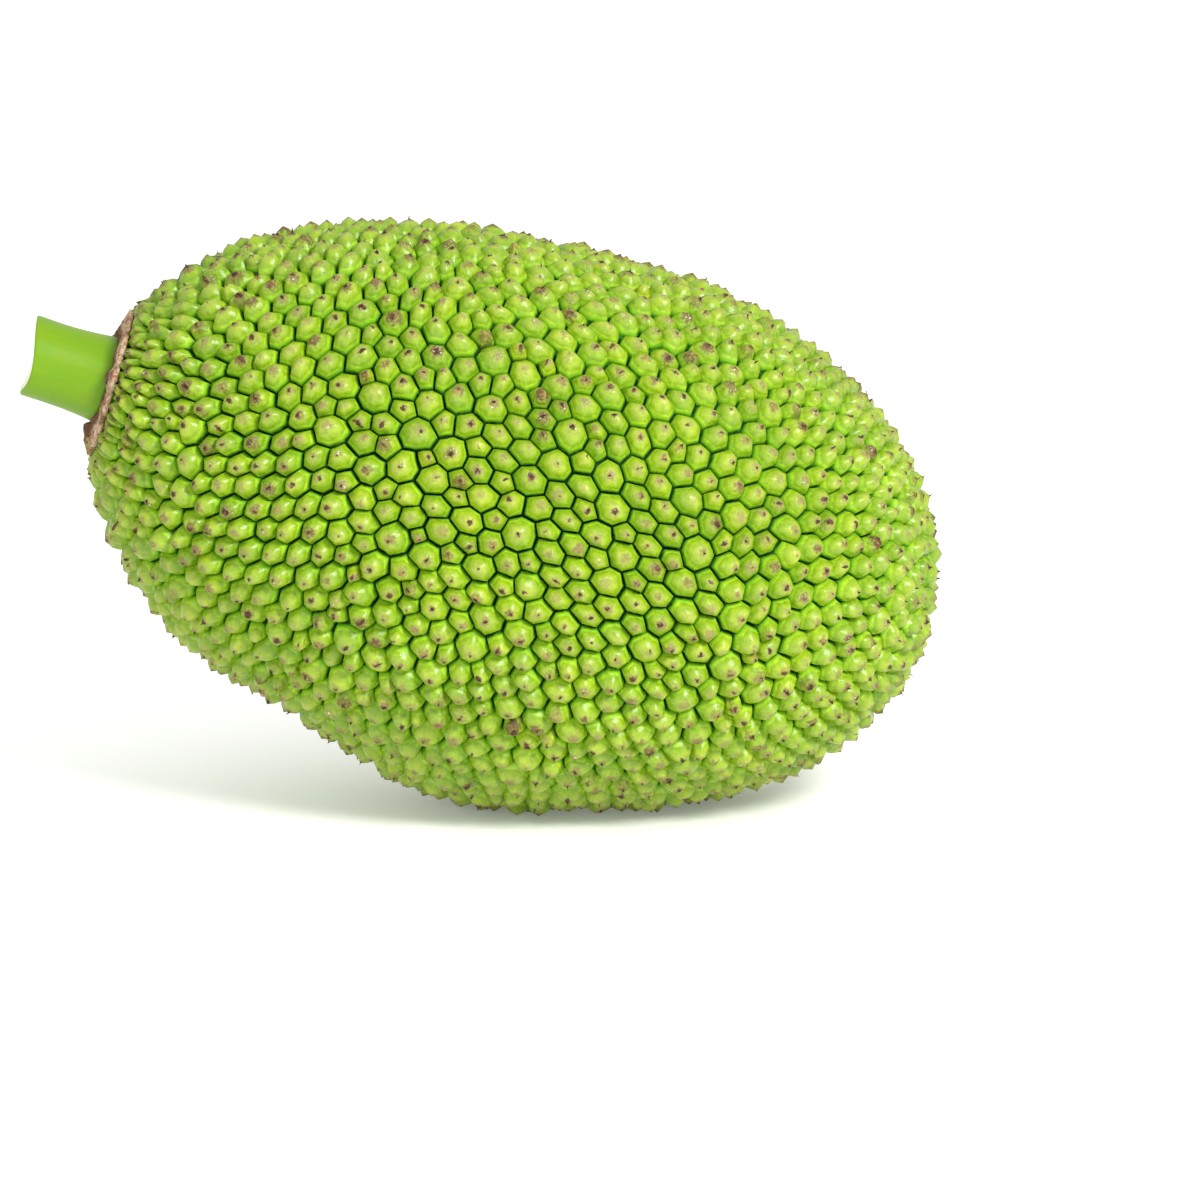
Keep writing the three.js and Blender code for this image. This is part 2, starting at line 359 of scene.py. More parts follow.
def skin_at(length, turn):
    """Points on the fruit's outer skin, in its own frame, and the way out of the fruit there."""
    s, r, out_s, out_r = (along_meridian("length", length, name) for name in ("s", "r", "out_s", "out_r"))
    under = np.maximum(0, -np.cos(turn)) ** 2
    swell = sum(height * under * np.exp(-(((s - at) / spread) ** 2)) for height, at, spread in BELLIES)
    for height, turns, phase, pitch in WAVES:
        swell = swell + height * np.sin(turns * turn + phase + TAU * s / pitch)
    reach = r + swell * np.minimum(r / FRUIT_RADIUS, 1)
    points = np.stack([s, reach * np.sin(turn), reach * np.cos(turn)], axis=1)
    outs = np.stack([out_s, out_r * np.sin(turn), out_r * np.cos(turn)], axis=1)
    points[:, 2] += SEAT_RISE * np.maximum(0, 1 - s / SEAT_RISE_SPAN) ** 2
    return points, outs


# ---- How the fruit lies


def leaned(points):
    """Points of the fruit's own frame, turned as the fruit lies."""
    return points @ np.array(Matrix.Rotation(LEAN, 3, "Y")).T


def stalk_surface(sides, rings):
    """Points of the stalk in the fruit's own frame, ring by ring from its foot to the middle of the cut."""
    steps = [i / rings for i in range(rings)]
    outline = [(STALK_RADIUS + STALK_FLARE * (1 - step) ** 2, FLARE_LENGTH * step) for step in steps]
    straight = np.linspace(FLARE_LENGTH, STALK_LENGTH - CUT_EDGE, rings)
    outline += [(STALK_RADIUS, along) for along in straight]
    for angle in np.linspace(0, math.pi / 2, 4)[1:]:
        inward, short = 1 - math.cos(angle), 1 - math.sin(angle)
        outline.append((STALK_RADIUS - CUT_EDGE * inward, STALK_LENGTH - CUT_EDGE * short))
    shares = np.linspace(0.9, 0.03, CUT_RINGS)
    outline += [(share * (STALK_RADIUS - CUT_EDGE), STALK_LENGTH) for share in shares]
    radius, along = np.array(outline).T
    turn = np.arange(sides) * TAU / sides
    across = radius[:, None] * np.sin(turn)
    up = radius[:, None] * np.cos(turn)
    rise = up / STALK_RADIUS
    hollow = CUT_SCOOP * np.maximum(0, 1 - (rise / SCOOP_REACH) ** 2) * (1 - SCOOP_SKEW * rise)
    near_cut = np.clip(1 - (STALK_LENGTH - along) / FLARE_LENGTH, 0, 1)[:, None]
    points = np.stack([near_cut * (hollow - CUT_SLANT * up) - along[:, None], across, up], axis=2)
    tilt = np.array(Matrix.Rotation(STALK_TILT, 3, "Y"))
    foot = -GAP - (STALK_RADIUS + STALK_FLARE) * abs(math.sin(STALK_TILT))
    return points @ tilt.T + np.array([foot, 0, SEAT_RISE + STALK_RISE])


def resting_place():
    """Where the origin of the fruit's own frame lies, from where the frame has the stalk."""
    low, high = (np.array(corner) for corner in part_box("stalk"))
    own = leaned(stalk_surface(40, 4).reshape(-1, 3))
    return (low + high - own.min(axis=0) - own.max(axis=0)) / 2


PLACE = resting_place()


def lying(points):
    """Points of the fruit's own frame, where they are as the fruit lies."""
    return leaned(points) + PLACE


# ---- Tubercles


def scatter_tubercles(count, scatter):
    """Where each tubercle stands, as arrays of length along the meridian, turn and height."""
    length, turn, height = [[0.0]], [[0.0]], [[0.0]]
    for ring, (offset, number, tall) in enumerate(PLEAT_RINGS):
        step = np.arange(number)
        length.append(RIM_LENGTH + offset + PLEAT_STRAY * tall * stray(step, 40 + ring))
        turn.append(TAU / number * (step + ring / 2 + PLEAT_TURN_STRAY * tall * stray(step, 50 + ring)))
        height.append(tall * (1 + PLEAT_HEIGHT_STRAY * stray(step, 60 + ring)))
    start = along_meridian("length", RIM_LENGTH + FIELD_START, "area")
    field = MERIDIAN["area"][-1] - start
    pitch = math.sqrt(field / count)
    index = np.arange(count)
    area = start + field * (index + 0.5) / count
    radius = along_meridian("area", area, "r")
    shift = np.minimum(scatter * pitch, SHIFT_MOST * radius)
    length.append(along_meridian("area", area, "length") + shift * stray(index, 1))
    turn.append(index * GOLDEN_ANGLE + shift / radius * stray(index, 2))
    height.append(FIELD_HEIGHT + FIELD_HEIGHT_STRAY * stray(index, 3))
    return np.concatenate(length), np.concatenate(turn), np.concatenate(height)


def settled(length, turn, tall, share):
    """The places again, each of full height moved a share of the way to the middle of its neighbours."""
    points = on_sphere(length, turn)
    rounds = corners_round(meeting_threes(points), len(length))
    middles = np.array([points[[neighbour for _, neighbour in corners]].mean(axis=0) for corners in rounds])
    moved = unit(points + share * (middles - points))
    free = tall > PLEAT_HEIGHT
    stretch = np.arctanh(moved[:, 0])
    length = np.where(free, np.interp(stretch, MERIDIAN["stretch"], MERIDIAN["length"]), length)
    return length, np.where(free, np.arctan2(moved[:, 1], moved[:, 2]), turn)


def on_sphere(length, turn):
    """The same places on a unit sphere, by a map that keeps angles, so that neighbours stay neighbours."""
    stretch = along_meridian("length", length, "stretch")
    wide = np.cosh(stretch)
    points = np.stack([np.tanh(stretch), np.sin(turn) / wide, np.cos(turn) / wide], axis=1)
    points[length == 0] = (-1, 0, 0)
    return points


def meeting_threes(points):
    """The threes of places that meet at a corner: the faces of the hull of the points on the sphere."""
    hull = bmesh.new()
    for point in points:
        hull.verts.new(point)
    hull.verts.index_update()
    bmesh.ops.convex_hull(hull, input=hull.verts[:])
    threes = [[vert.index for vert in face.verts] for face in hull.faces]
    hull.free()
    if len(threes) != 2 * len(points) - 4:
        raise RuntimeError(f"the hull has {len(threes)} faces for {len(points)} places")
    outward = []
    for a, b, c in threes:
        turn = np.cross(points[b] - points[a], points[c] - points[a]) @ points[a]
        outward.append((a, b, c) if turn > 0 else (a, c, b))
    return outward


def corners_round(threes, count):
    """For each place, the threes round it in order, each with the neighbour that follows it."""
    after = {}
    for index, (a, b, c) in enumerate(threes):
        after[a, b] = (index, c)
        after[b, c] = (index, a)
        after[c, a] = (index, b)
    first = {}
    for a, b in after:
        first.setdefault(a, b)
    rounds = []
    for place in range(count):
        neighbour = first[place]
        corners = []
        while True:
            index, neighbour = after[place, neighbour]
            corners.append((index, neighbour))
            if neighbour == first[place]:
                break
        rounds.append(corners)
    return rounds


SETTLINGS = 2  # the scattered tubercles jostle this often, until all are nearly the same size
SETTLE_SHARE = 0.3
RINGS = ((1.0, 0.0), (0.935, 0.41), (0.79, 0.67), (0.46, 0.875))  # reach from the tip, and height, as shares
UNEVEN = (0.012, 0.03, 0.12, 0)  # how far each ring's points stray after the first, as a share of the reach
CORNER_STRAY = 0.2  # how unequally a corner stands between its three tubercles, as a share
CORNER_ROUNDING = 3  # over the number of sides, to the eighth power: the share that a corner is cut back by
LEAN_MOST = 2.6  # how wide the place of a tip may range, in mm
TIP_RISE = 1.3 * MM  # how far the highest tips stand above the skin
TIP_RANGE = 2.4 * MM  # how much lower the lowest stand
BY_STALK = 60 * MM  # how far from the stalk the tubercles are more often bruised, and on the upper side darker
ABSENT = -3  # radius of a scar or dot that isn't there, in mm


def tubercle_faces(sides):
    """Faces of one tubercle whose rings have this many points: strips up to the last ring, then a fan."""
    faces = []
    for ring in range(len(RINGS)):
        for i in range(sides):
            low, high = ring * sides, (ring + 1) * sides
            after = (i + 1) % sides
            if ring < len(RINGS) - 1:
                faces.append((low + i, low + after, high + after, high + i))
            else:
                faces.append((low + i, low + after, high))
    return faces


class Rind:
    """The tubercles as points and faces, with what a shader reads at each corner of each face"""

    def __init__(self, settings):
        self.height = settings.height
        length, turn, tall = scatter_tubercles(settings.count, settings.scatter)
        for _ in range(SETTLINGS):
            length, turn = settled(length, turn, tall, SETTLE_SHARE)
        self.skin, self.out = skin_at(length, turn)
        self.count = len(length)
        self.index = np.arange(self.count)
        self.tall = tall
        self.up = np.cos(turn)
        self.sideways = np.stack([np.zeros(self.count), np.cos(turn), -np.sin(turn)], axis=1)
        self.onward = np.cross(self.sideways, self.out)
        self.grow_corners(length, turn)
        self.mark(settings)
        self.grow_all()

    def mark(self, settings):
        """Chooses each tip's lean, scar and dot, in millimetres across the face of the tubercle."""
        index = self.index
        chance = {use: 0.5 + 0.5 * stray(index, use) for use in range(11, 29)}
        lean = np.stack([chance[11] - 0.5, chance[12] - 0.5], axis=1)
        self.lean = LEAN_MOST * lean * self.tall[:, None] ** 2
        self.dip = -TIP_RISE + TIP_RANGE * chance[13] ** 1.5 * self.tall
        by_stalk = np.exp(-self.skin[:, 0] / BY_STALK)
        bruised = chance[14] < 0.06 + 0.12 * np.maximum(0, self.up) ** 2 + 0.12 * by_stalk * (1 + self.up)
        scarred = (chance[14] < 0.9) & (self.tall > 0)
        size = settings.scar_radius / MM * (0.6 + 0.7 * chance[15] + 0.6 * bruised) * self.tall
        self.scar_radius = np.where(scarred, size, ABSENT)
        self.scar = np.stack([chance[16] - 0.5, chance[17] - 0.5], axis=1)
        dotted = (chance[18] < settings.dotted) & (self.tall > 0)
        size = (0.3 + 0.75 * chance[19] ** 1.8 + 0.3 * bruised) * self.tall
        self.dot_radius = np.where(dotted, size, ABSENT)
        self.dot = self.scar + 1.3 * np.stack([chance[20] - 0.5, chance[21] - 0.5], axis=1)
        runts = np.array([len(corners) < 5 for corners in self.rounds]) & (chance[28] < 0.5)
        # Near the stalk, tubercles on the upper side take a lower tint, so they are darker.
        self.tint = np.where(runts, 1, 0.9 * chance[22] - 0.5 * by_stalk * np.maximum(0, self.up))
        self.stretch = 1 + 0.9 * chance[23] ** 2
        self.slant = math.pi * chance[24]
        hue = np.where(bruised, 0.85 + 0.15 * chance[25], 0.9 * chance[25])
        self.kind = np.stack([hue, 0.6 + 0.4 * chance[26], chance[27] ** 3], axis=1)

    def grow_corners(self, length, turn):
        """The groove: a corner where three tubercles meet, and a point halfway along each side."""
        threes = meeting_threes(on_sphere(length, turn))
        self.rounds = corners_round(threes, self.count)
        threes = np.array(threes)
        weight = 1 + CORNER_STRAY * stray(np.arange(3 * len(threes)), 24).reshape(-1, 3)
        weight /= weight.sum(axis=1, keepdims=True)
        skin = np.einsum("ij,ijk->ik", weight, self.skin[threes])
        out = unit(self.out[threes].sum(axis=1))
        depth = self.height * self.tall[threes].mean(axis=1)
        halves = {}
        for place, corners in enumerate(self.rounds):
            for (here, neighbour), (there, _) in zip(corners, corners[1:] + corners[:1]):
                if place < neighbour:
                    halves[place, neighbour] = (here, there)
        self.half_at = {pair: len(threes) + i for i, pair in enumerate(halves)}
        pairs = np.array(list(halves.values()))
        self.edge_skin = np.concatenate([skin, skin[pairs].mean(axis=1)])
        self.edge_out = np.concatenate([out, unit(out[pairs].sum(axis=1))])
        self.edge_depth = np.concatenate([depth, depth[pairs].mean(axis=1)])

    def grow_all(self):
        """Every tubercle, one after the other, on the groove that they share."""
        groove = self.edge_skin - self.edge_out * self.edge_depth[:, None]
        points, faces, scars, dots, growths, kinds = [groove], [], [], [], [], []
        total = len(groove)
        self.tips = np.zeros((self.count, 3))
        faces_of = {}
        for place in range(self.count):
            edge = self.edge_of(place)
            grown, reach = self.grow_one(place, edge)
            sides = len(edge)
            if sides not in faces_of:
                faces_of[sides] = tubercle_faces(sides)
            own = np.concatenate([edge, total + np.arange(len(grown) - sides)])
            faces += [tuple(own[list(face)].tolist()) for face in faces_of[sides]]
            loops = [i for face in faces_of[sides] for i in face]
            tip = grown[-1]
            self.tips[place] = tip
            away = (grown - tip) / MM
            across = np.stack([away @ self.onward[place], away @ self.sideways[place]], axis=1)
            scars.append(np.column_stack([across - self.scar[place], reach])[loops])
            slant = self.slant[place]
            along = np.array([[math.cos(slant), -math.sin(slant)], [math.sin(slant), math.cos(slant)]])
            dot = (across - self.dot[place]) @ along * (1 / self.stretch[place], self.stretch[place] ** 0.5)
            dots.append(np.column_stack([dot, -away @ self.out[place]])[loops])
            growth = (self.scar_radius[place], self.dot_radius[place], self.tint[place])
            growths.append(np.tile(growth, (len(loops), 1)))
            kinds.append(np.tile(self.kind[place], (len(loops), 1)))
            points.append(grown[sides:])
            total += len(grown) - sides
        self.points = np.concatenate(points)
        self.faces = faces
        self.values = {
            "from_scar": np.concatenate(scars),
            "from_dot": np.concatenate(dots),
            "growth": np.concatenate(growths),
            "scar_kind": np.concatenate(kinds),
        }

    def edge_of(self, place):
        """The groove's points round a tubercle: a corner, the middle of a side, and so on."""
        edge = []
        for corner, neighbour in self.rounds[place]:
            edge += [corner, self.half_at[min(place, neighbour), max(place, neighbour)]]
        return edge

    def grow_one(self, place, edge):
        """A tubercle's points from the groove up to the tip, and each one's reach from the tip as a share."""
        tip = self.skin[place]
        lean = self.lean[place] * MM
        lean = lean[0] * self.onward[place] + lean[1] * self.sideways[place]
        sides = len(edge) // 2
        rounding = np.tile([1 - min(CORNER_ROUNDING / sides, 0.8) ** 8, 1.0], sides)
        grown = [self.edge_skin[edge] - self.edge_out[edge] * self.edge_depth[edge][:, None]]
        reaches = [np.ones(len(edge))]
        for (reach, high), uneven in zip((*RINGS[1:], (0.0, 1.0)), UNEVEN):
            picked = edge if reach else edge[:1]
            share = reach * rounding[: len(picked)]
            share = (share * (1 + uneven * stray(np.array(picked) + 0.37 * place, 70)))[:, None]
            out = unit(share * self.edge_out[picked] + (1 - share) * self.out[place])
            ring = tip + share * (self.edge_skin[picked] - tip) + lean * (1 - share**2)
            drop = (1 - high) * self.edge_depth[picked] + high * self.dip[place]
            grown.append(ring - out * drop[:, None])
            reaches.append(np.full(len(picked), reach))
        return np.concatenate(grown), np.concatenate(reaches)


STYLE_SIDES = 5
STYLE_STEPS = (0.0, 0.35, 0.7)  # where the rings of a style stand, as shares of its length
STYLE_TAPER = 0.55
STYLE_SWAY = 0.7
STYLE_BEND = 0.8
STYLE_ROOT = 0.3 * MM  # how deep its foot is sunk
STYLE_CLEAR = 4 * MM  # none stands nearer to the floor


def grow_styles(rind, settings):
    """A short dry thread, bent at random, on some of the dots, wherever it stays inside the solids' box."""
    index = rind.index
    standing = (rind.dot_radius > 0) & (stray(index, 31) < 2 * settings.share - 1)
    low, high = np.array(CAD_LOW), np.array(CAD_HIGH)
    points, faces = [], []
    turns = np.arange(STYLE_SIDES) * TAU / STYLE_SIDES
    for place in np.flatnonzero(standing):
        onward, sideways = rind.onward[place], rind.sideways[place]
        at = rind.tips[place] + rind.dot[place] @ [onward, sideways] * MM
        sway = STYLE_SWAY * stray(place, 32) * onward + STYLE_SWAY * stray(place, 33) * sideways
        bend = STYLE_BEND * stray(place, 34) * onward + STYLE_BEND * stray(place, 35) * sideways
        reach = settings.length * (0.62 + 0.38 * stray(place, 36))
        width = settings.radius * (0.85 + 0.3 * stray(place, 37))
        out = rind.out[place]
        spine = []
        for s in (*STYLE_STEPS, 1.0):
            bent = (sway * s + bend * s * s) * reach * 0.5
            spine.append(at + (out * (s * reach - STYLE_ROOT) + bent))
        where = lying(np.array(spine))
        if (where < low).any() or (where > high).any() or where[:, 2].min() < STYLE_CLEAR:
            continue
        first = len(points)
        for step, s in enumerate(STYLE_STEPS):
            radius = width * (1 - STYLE_TAPER * s)
            for turn in turns:
                side = math.cos(turn) * onward + math.sin(turn) * sideways
                points.append(spine[step] + radius * side)
        points.append(spine[-1])
        for step in range(len(STYLE_STEPS)):
            for i in range(STYLE_SIDES):
                a = first + step * STYLE_SIDES + i
                b = first + step * STYLE_SIDES + (i + 1) % STYLE_SIDES
                if step < len(STYLE_STEPS) - 1:
                    faces.append((a, b, b + STYLE_SIDES, a + STYLE_SIDES))
                else:
                    faces.append((a, b, len(points) - 1))
        faces.append(tuple(first + i for i in reversed(range(STYLE_SIDES))))
    return np.array(points), faces


# ---- Collar

COLLAR_STEPS = 360
COLLAR_INNER = STALK_RADIUS + STALK_FLARE - GAP  # grown onto the foot of the stalk
SECTION_STEPS = 20
CREST_AT = 0.22  # how far across from the stalk the crest runs, as a share
COLLAR_LIP = 0.16  # height of the outer lip, as a share of the crest
COLLAR_SKIRT = -0.4 * MM  # how far the cork creeps over the first tubercles
COLLAR_RAGGED = 1.2 * MM  # how far its outer edge strays
COLLAR_ROOT = 1.6 * MM  # how deep its outer edge is sunk between the tubercles
CRACK_WIDTH = 0.16
LUMP_ROOM = 0.3 * MM  # how much lower the crest is than the solid's, so that the lumps have room
LUMP_MOST = 0.4 * MM
CORK_LEAST = 0.4 * MM  # no crack leaves less cork than this
FRESH_KNOB = 6.3  # the youngest knob, still olive, counted from straight up
FRESH_KNOB_SIZE = 0.7 * MM
FRESH_POINT = 11  # where its swelling is highest, counted in points of the section
FRESH_SPREAD = 6
LOW_SIDE = 5.65  # turn at which the cork stands lowest, in radians from straight up
LOW_SHARE = 0.5  # how much of its height is missing there


def reach_of_raised(radius, rise, turn):
    """How far a circle reaches at a turn, when its middle stands above the axis."""
    return rise * math.cos(turn) + math.sqrt(radius**2 - (rise * math.sin(turn)) ** 2)


def collar_section(turn):
    """The section at one turn, as height and radius: steep by the stalk, sloping to the tubercles."""
    inner = reach_of_raised(COLLAR_INNER, STALK_RISE, turn)
    knob = math.floor(turn / TAU * COLLAR_KNOBS)
    size = KNOB_HEIGHT * (0.6 + 0.4 * float(stray(knob, 4)))
    bulge = size * abs(math.sin(turn * COLLAR_KNOBS / 2)) ** 1.1
    ragged = noise.fractal(Vector((3 * math.sin(turn), 3 * math.cos(turn), 5)), 0.5, 2, 4)
    outer = COLLAR_RADIUS + COLLAR_SKIRT + KNOB_REACH * bulge + COLLAR_RAGGED * ragged
    crest = COLLAR_HEIGHT * (0.6 + 0.4 * bulge / KNOB_HEIGHT) + bulge - LUMP_ROOM
    crest *= 1 - LOW_SHARE * max(0.0, math.cos(turn - LOW_SIDE)) ** 6
    section = [(0.0, (inner + outer) / 2), (0.0, inner)]
    for step in range(1, SECTION_STEPS + 1):
        across = step / SECTION_STEPS
        if across < CREST_AT:
            share = math.sqrt(1 - (1 - across / CREST_AT) ** 2)
        else:
            share = 1 - (1 - COLLAR_LIP) * ((across - CREST_AT) / (1 - CREST_AT)) ** 1.4
        section.append((crest * share, inner + (outer - inner) * across**1.15))
    return section + [(-COLLAR_ROOT, outer + 0.4 * MM), (-COLLAR_ROOT, outer - 2 * MM)]


def grow_collar(settings):
    """A ring of corky knobs, lumpy and cracked, with each point's place across it, height and freshness."""
    points, marks = [], []
    for i in range(COLLAR_STEPS):
        turn = TAU * i / COLLAR_STEPS
        side = Vector((0, math.sin(turn), math.cos(turn)))
        section = collar_section(turn)
        fresh = max(0, 1 - abs(turn / TAU * COLLAR_KNOBS - FRESH_KNOB) * 1.4)
        for k, (high, radius) in enumerate(section):
            point = side * radius - Vector((high + GAP, 0, 0))
            share = min(max(high, 0) / COLLAR_HEIGHT, 1)
            rough = noise.fractal(point * per_mm(4), 0.6, 2.2, 4)
            crack = abs(noise.noise(Vector((turn * 9, radius * per_mm(9), 0))))
            lump = settings.lump * share * (0.8 * rough - max(0, CRACK_WIDTH - crack) / CRACK_WIDTH)
            lump = min(max(lump, min(0, CORK_LEAST - high)), LUMP_MOST)
            lump += FRESH_KNOB_SIZE * fresh**0.6 * math.exp(-(((k - FRESH_POINT) / FRESH_SPREAD) ** 2))
            ease = Vector((-1, 0, 0)) + side * (k / len(section) - 0.4)
            points.append(point + ease * lump + Vector((0, 0, SEAT_RISE)))
            marks.append((max(0, k - 1) / SECTION_STEPS, high / (COLLAR_HEIGHT + KNOB_HEIGHT), fresh))
    size = len(section)
    faces = []
    for i in range(COLLAR_STEPS):
        here, there = i * size, (i + 1) % COLLAR_STEPS * size
        for k in range(size):
            after = (k + 1) % size
            faces.append((here + k, here + after, there + after, there + k))
    return np.array([tuple(point) for point in points]), faces, np.array(marks)


# ---- Stalk

STALK_SIDES = 96
STALK_RINGS = 16
STALK_UNEVEN = 0.007  # as a share of its radius


def grow_stalk():
    """The stalk's points and faces, whose skin is slightly uneven, and the number of its rings."""
    rings = stalk_surface(STALK_SIDES, STALK_RINGS)
    count = len(rings)
    middles = rings.mean(axis=1, keepdims=True)
    turn = np.arange(STALK_SIDES) * TAU / STALK_SIDES
    wave = np.sin(2 * turn + rings[..., 0] * per_mm(8)) + 0.6 * np.sin(3 * turn - rings[..., 0] * per_mm(5))
    rings = middles + (rings - middles) * (1 + STALK_UNEVEN * wave[..., None])
    points = rings.reshape(-1, 3)
    faces = []
    for ring in range(count - 1):
        for i in range(STALK_SIDES):
            low, after = ring * STALK_SIDES, (i + 1) % STALK_SIDES
            faces.append((low + i, low + after, low + STALK_SIDES + after, low + STALK_SIDES + i))
    faces.append(tuple(reversed(range(STALK_SIDES))))
    faces.append(tuple(range((count - 1) * STALK_SIDES, count * STALK_SIDES)))
    return points, faces, count


# ---- Materials


def waxy_rind(settings):
    """Living rind under a thin natural wax: satin, so that each flank catches one soft glint."""
    material, add = new_material("waxy_rind")
    place = add("ShaderNodeTexCoord").outputs["Object"]
    scar, dot, growth, kind = (
        add("ShaderNodeAttribute", attribute_name=name).outputs["Vector"]
        for name in ("from_scar", "from_dot", "growth", "scar_kind")
    )
    scar_radius, dot_radius, tint = add("ShaderNodeSeparateXYZ", {0: growth}).outputs
    hue, strength, milky = add("ShaderNodeSeparateXYZ", {0: kind}).outputs
    reach = add("ShaderNodeSeparateXYZ", {0: scar}).outputs["Z"]
    drift, mottle, rubbed, shake = (
        add(
            "ShaderNodeTexNoise",
            {"Vector": place, "Scale": per_mm(size), "Detail": detail, "Roughness": roughness},
        ).outputs[output]
        for size, detail, roughness, output in (
            (70, 3.0, 0.5, "Fac"),
            (2.6, 5.0, 0.62, "Fac"),
            (1.1, 3.0, 0.7, "Fac"),
            (1.7, 4.0, 0.65, "Color"),
        )
    )

    # From the tip down: a dull crown, fresh green, a paler shoulder that is a painted highlight, a deep green
    # flank, and a groove nearly black; flank and groove are partly the rind's own darker green and partly
    # painted shade in the groove.
    # The mottle moves each of them up or down a little, so that none is an even band.
    level = add("ShaderNodeMath", {0: mottle, 1: 0.16, 2: -0.08}, operation="MULTIPLY_ADD").outputs[0]
    level = add("ShaderNodeMath", {0: level, 1: reach}, operation="ADD").outputs[0]
    stops = (
        (0.0, linear("#969C40")),
        (0.34, linear("#8C9E2E")),
        (0.6, linear("#84A01C")),
        (0.75, tuple(settings.colour)),
        # Painted highlight: the paler green along the shoulder of each tubercle.
        (0.83, linear("#9ABE30")),
        (0.88, linear("#84B81C")),
        # Painted shade over the rind's own darker green: the deep flank and the groove.
        (0.915, linear("#5C9C04")),
        (0.948, linear("#144600")),
        (1.0, tuple(settings.groove_shade_colour)),
    )
    green = add("ShaderNodeValToRGB", {"Fac": level}, stops).outputs["Color"]

    # Broad drifts of tone over the fruit, a tone of each tubercle's own, a mottle of one to three mm, and
    # yellower runts between the others.
    tone = add("ShaderNodeMix", {"Factor": 0.5, 2: drift, 3: tint}).outputs[0]
    value = 0.165
    for layer, share in ((tone, 0.36), (mottle, 0.86), (rubbed, 0.4)):
        value = add("ShaderNodeMath", {0: layer, 1: share, 2: value}, operation="MULTIPLY_ADD").outputs[0]
    yellowed = add("ShaderNodeMapRange", {"Value": tint, "From Min": 0.95, "From Max": 0.99}).outputs[0]
    turned = 0.545
    for layer, share in ((tone, -0.03), (mottle, -0.055), (yellowed, -0.015)):
        turned = add("ShaderNodeMath", {0: layer, 1: share, 2: turned}, operation="MULTIPLY_ADD").outputs[0]
    green = add("ShaderNodeHueSaturation", {"Hue": turned, "Value": value, "Color": green}).outputs["Color"]

    # The outlines of scars and dots are ragged, shaken by a noise of about two millimetres.
    masks = []
    for away, radius, wide, soft in ((scar, scar_radius, 2.8, 0.8), (dot, dot_radius, 1.7, 0.28)):
        shaken = {0: shake, 1: (2 * wide, 2 * wide, 0), 2: (-wide, -wide, 0)}
        spot = add("ShaderNodeVectorMath", shaken, operation="MULTIPLY_ADD").outputs[0]
        flat = {0: away, 1: (1, 1, 0), 2: spot}
        spot = add("ShaderNodeVectorMath", flat, operation="MULTIPLY_ADD").outputs[0]
        spot = add("ShaderNodeVectorMath", {0: spot}, operation="LENGTH").outputs["Value"]
        edge = add("ShaderNodeMath", {0: spot, 1: radius}, operation="SUBTRACT").outputs[0]
        masks.append((edge, soft, -soft, 0.0))

    # The scar is rubbed through in places, and dried latex stands on some in white specks.
    masks += [(rubbed, 0.36, 0.56, 0.5), (rubbed, 0.6, 0.66, 0.0), (rubbed, 0.4, 0.6, 0.0)]
    masks.append((reach, 0.84, 0.95, 0.0))
    scarred, dotted, worn, specks, lit, deep = (
        add(
            "ShaderNodeMapRange",
            {"Value": layer, "From Min": low, "From Max": high, "To Min": least},
            interpolation_type="SMOOTHSTEP",
        ).outputs[0]
        for layer, low, high, least in masks
    )
    shares = []
    for layers in ((strength, worn), (milky, specks)):
        share = scarred
        for layer in layers:
            share = add("ShaderNodeMath", {0: layer, 1: share}, operation="MULTIPLY").outputs[0]
        shares.append(share)
    patch, latex = shares

    # Each scar has a colour of its own, from olive through tan to a dark brown bruise, and is blotched.
    age = add("ShaderNodeMath", {0: rubbed, 1: 1.6, 2: -0.8}, operation="MULTIPLY_ADD").outputs[0]
    age = add("ShaderNodeMath", {0: age, 1: hue}, operation="ADD").outputs[0]
    stops = (
        (0.0, linear("#7E8038")),
        (0.36, tuple(settings.scar_colour)),
        (0.68, linear("#76503A")),
        (0.95, linear("#542E20")),
    )
    cork = add("ShaderNodeValToRGB", {"Fac": age}, stops).outputs["Color"]
    browns = {"Factor": lit, 6: linear("#1A0C02"), 7: linear("#5C3414")}
    dead = add("ShaderNodeMix", browns, data_type="RGBA").outputs[2]
    colour = green
    for share, paint in ((patch, cork), (dotted, dead), (latex, linear("#E8E4CC"))):
        colour = add("ShaderNodeMix", {"Factor": share, 6: colour, 7: paint}, data_type="RGBA").outputs[2]

    # The mottle stands out a little, and the scar is rough and sunken.
    relief = mottle
    for layer, share in ((scarred, -1.0), (dotted, -1.6)):
        relief = add("ShaderNodeMath", {0: layer, 1: share, 2: relief}, operation="MULTIPLY_ADD").outputs[0]
    matt = add("ShaderNodeMath", {0: scarred, 1: deep}, operation="MAXIMUM").outputs[0]
    matt = add("ShaderNodeMath", {0: matt, 1: 0.5, 2: 0.25}, operation="MULTIPLY_ADD").outputs[0]
    look = {"Base Color": colour, "Roughness": matt, "IOR": 1.42, "Specular IOR Level": 0.55}
    return finished(material, add, look, relief, 0.4, 0.8 * MM)


def dry_style(settings):
    """Withered threads, dead and dry, so they are dark and matt."""
    material, add = new_material("dry_style")
    place = add("ShaderNodeTexCoord").outputs["Object"]
    fibre = add("ShaderNodeTexNoise", {"Vector": place, "Scale": per_mm(0.8), "Detail": 3.0}).outputs["Fac"]
    stops = ((0.35, linear("#22120C")), (0.7, tuple(settings.colour)))
    colour = add("ShaderNodeValToRGB", {"Fac": fibre}, stops).outputs[0]
    return finished(material, add, {"Base Color": colour, "Roughness": 0.85}, fibre, 0.5, 0.2 * MM)


